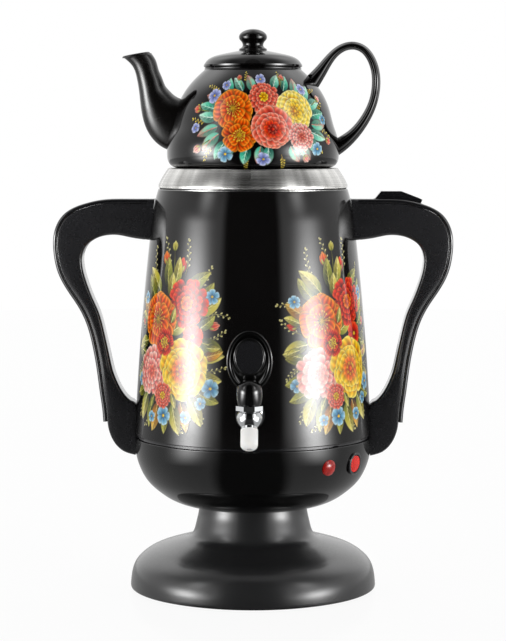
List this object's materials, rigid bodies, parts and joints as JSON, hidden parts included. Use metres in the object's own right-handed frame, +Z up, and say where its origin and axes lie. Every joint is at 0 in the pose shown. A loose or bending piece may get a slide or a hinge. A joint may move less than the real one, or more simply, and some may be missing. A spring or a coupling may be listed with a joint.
{
  "type": "electric tea maker",
  "caption": "Electric water heater on a pedestal with a front tap, two side handles and a ceramic teapot on its lid.",
  "frame": {"origin": "on the floor under the middle of the round base", "axes": "+Z up, the tap at the front towards -Y, the teapot's spout towards -X"},
  "size_m": [0.3268, 0.2374, 0.4596],
  "materials": {
    "black_rubber": "matt",
    "base_plastic": "satin",
    "bowl_plastic": "gloss",
    "handle_plastic": "satin",
    "shell_enamel": "gloss",
    "brushed_steel": "brushed",
    "zinc_steel": "zinc plated",
    "cast_aluminium": "cast",
    "brass_nut": "turned",
    "chrome_plate": "polished",
    "valve_steel": "ground",
    "black_ceramic": "glazed",
    "key_plastic": "gloss",
    "white_silicone": "satin",
    "red_lens": "gloss",
    "moulded_black": "satin"
  },
  "bodies": {
    "heater": {"foot_ring": "black_rubber", "base_cover": "base_plastic", "base_cover_screws": "zinc_steel", "pedestal": "base_plastic", "bowl": "bowl_plastic", "tie_rod": "zinc_steel", "tie_rod_nuts": "zinc_steel", "seam_ring": "bowl_plastic", "heat_shield": "zinc_steel", "body_shell": "shell_enamel", "inner_tank": "brushed_steel", "heater_plate": "cast_aluminium", "heater_ring": "cast_aluminium", "thermostat": "moulded_black", "tank_studs": "zinc_steel", "stud_sleeves": "zinc_steel", "stud_nuts": "zinc_steel", "handle_socket_left": "handle_plastic", "handle_left": "handle_plastic", "handle_strip_left": "handle_plastic", "handle_socket_right": "handle_plastic", "handle_right": "handle_plastic", "handle_strip_right": "handle_plastic", "handle_screws": "zinc_steel", "lever_pin": "zinc_steel", "tap_body": "chrome_plate", "tap_gasket": "black_rubber", "tap_spacer": "moulded_black", "tank_gasket": "black_rubber", "tap_nut": "brass_nut", "tap_bonnet": "chrome_plate", "nozzle_ring": "chrome_plate", "tap_nozzle": "white_silicone", "lamp_lens": "red_lens", "lamp_body": "moulded_black", "switch_body": "moulded_black", "power_inlet": "moulded_black", "inlet_pins": "brass_nut", "inlet_tabs": "brass_nut"},
    "tank_lid": {"tank_lid": "brushed_steel", "lid_seal": "black_rubber"},
    "teapot": {"teapot_body": "black_ceramic", "teapot_spout": "black_ceramic", "teapot_handle": "black_ceramic"},
    "teapot_lid": {"teapot_lid": "black_ceramic"},
    "tap_key": {"tap_key": "key_plastic", "tap_badge": "key_plastic", "valve_plug": "valve_steel"},
    "power_switch": {"switch_rocker": "red_lens"},
    "thumb_lever": {"thumb_lever": "handle_plastic"}
  },
  "joints": [
    {"name": "tank_lid_lift", "type": "slide", "parent": "heater", "child": "tank_lid", "axis": [0, 0, 1], "range_m": [0, 0.06]},
    {"name": "teapot_lift", "type": "slide", "parent": "tank_lid", "child": "teapot", "axis": [0, 0, 1], "range_m": [0, 0.12]},
    {"name": "teapot_lid_lift", "type": "slide", "parent": "teapot", "child": "teapot_lid", "axis": [0, 0, 1], "range_m": [0, 0.05]},
    {"name": "tap_key_turn", "type": "hinge", "parent": "heater", "child": "tap_key", "pos_m": [0, -0.1195, 0.1558], "axis": [0, 0, 1], "range_deg": [0, 90]},
    {"name": "power_switch_rock", "type": "hinge", "parent": "heater", "child": "power_switch", "pos_m": [0.08052, -0.04838, 0.11077], "axis": [0.104, -0.0625, 0.9926], "range_deg": [0, 20]},
    {"name": "thumb_lever_press", "type": "hinge", "parent": "heater", "child": "thumb_lever", "pos_m": [0.131, 0, 0.3137], "axis": [0, -1, 0], "range_deg": [0, 6], "stiffness_Nm_per_rad": 0.3, "springref_deg": -5.73}
  ]
}
